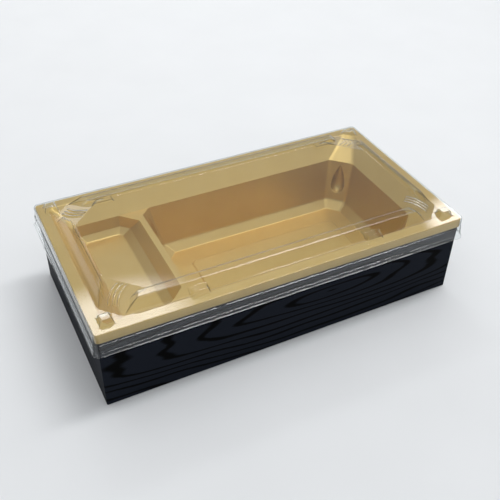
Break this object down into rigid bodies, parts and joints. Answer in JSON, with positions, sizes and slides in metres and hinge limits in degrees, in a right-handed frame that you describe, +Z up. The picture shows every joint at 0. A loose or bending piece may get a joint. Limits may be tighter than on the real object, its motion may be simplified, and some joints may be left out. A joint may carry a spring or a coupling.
{
  "type": "disposable food box",
  "caption": "Rectangular take-away food box: board walls faced in dark wood-grain film, a moulded gold tray with a main and a side compartment hung by its rim, and a clear lift-off lid.",
  "frame": {"origin": "centre of the box's underside, on the surface it stands on", "axes": "+X along the box's length away from the side compartment, +Y to its rear, +Z up"},
  "size_m": [0.2654, 0.1442, 0.0686],
  "materials": {
    "foam_board": "black foamed polystyrene board",
    "grain_film": "satin printed film with a dark wood grain",
    "gold_sheet": "satin gold laminate, vacuum formed",
    "clear_sheet": "clear glossy sheet, vacuum formed"
  },
  "bodies": {
    "box": {"base_board": "foam_board", "front_wall": "foam_board", "rear_wall": "foam_board", "left_wall": "foam_board", "right_wall": "foam_board", "grain_facing": "grain_film"},
    "tray": {"inner_tray": "gold_sheet"},
    "lid": {"clear_lid": "clear_sheet"}
  },
  "joints": [
    {"name": "tray_lift", "type": "slide", "parent": "box", "child": "tray", "axis": [0, 0, 1], "range_m": [0, 0.06]},
    {"name": "lid_lift", "type": "slide", "parent": "tray", "child": "lid", "axis": [0, 0, 1], "range_m": [0, 0.04]}
  ]
}
